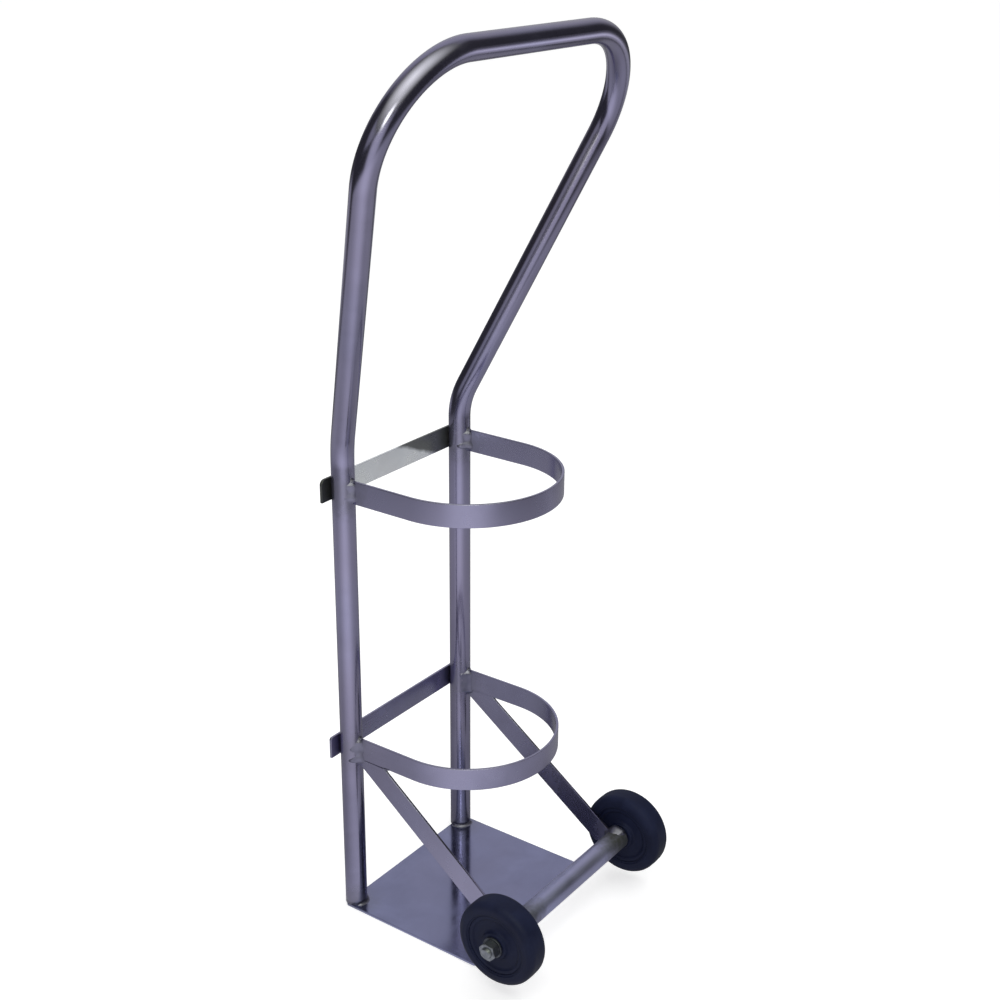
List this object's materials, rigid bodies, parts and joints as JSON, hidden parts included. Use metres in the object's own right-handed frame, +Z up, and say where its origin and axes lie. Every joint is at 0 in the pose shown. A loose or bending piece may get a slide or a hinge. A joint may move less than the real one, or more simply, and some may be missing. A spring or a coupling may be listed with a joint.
{
  "type": "gas_cylinder_trolley",
  "caption": "Upright two-wheeled hand trolley for a gas cylinder: bent tube frame with a flared handle, strap hoops, flat base plate and small solid wheels that take the load when it is tipped.",
  "frame": {"origin": "on the floor under the base plate, midway between the axes of the two uprights", "axes": "+Z up; +X along the axle to the right wheel; the hoops, wheels and leaning handle are towards -Y"},
  "size_m": [0.4242, 0.2967, 1.0029],
  "materials": {
    "polished_steel": "polished",
    "zinc_hardware": "bright zinc",
    "tyre_rubber": "satin",
    "core_plastic": "satin",
    "bush_bronze": "satin"
  },
  "bodies": {
    "frame": {"frame_tube": "polished_steel", "base_plate": "polished_steel", "upper_hoop": "polished_steel", "lower_hoop": "polished_steel", "upper_back_strip": "polished_steel", "lower_back_strip": "polished_steel", "left_strut": "polished_steel", "right_strut": "polished_steel", "axle_tube": "polished_steel", "axle_rod": "zinc_hardware", "left_axle_plug": "zinc_hardware", "right_axle_plug": "zinc_hardware", "left_inner_washer": "zinc_hardware", "right_inner_washer": "zinc_hardware", "left_outer_washer": "zinc_hardware", "right_outer_washer": "zinc_hardware", "left_axle_nut": "zinc_hardware", "right_axle_nut": "zinc_hardware"},
    "left_wheel": {"left_tyre": "tyre_rubber", "left_wheel_core": "core_plastic", "left_wheel_bush": "bush_bronze"},
    "right_wheel": {"right_tyre": "tyre_rubber", "right_wheel_core": "core_plastic", "right_wheel_bush": "bush_bronze"}
  },
  "joints": [
    {"name": "left_wheel_spin", "type": "hinge", "parent": "frame", "child": "left_wheel", "pos_m": [-0.1283, -0.231, 0.067], "axis": [1, 0, 0], "continuous": true},
    {"name": "right_wheel_spin", "type": "hinge", "parent": "frame", "child": "right_wheel", "pos_m": [0.1283, -0.231, 0.067], "axis": [1, 0, 0], "continuous": true}
  ]
}
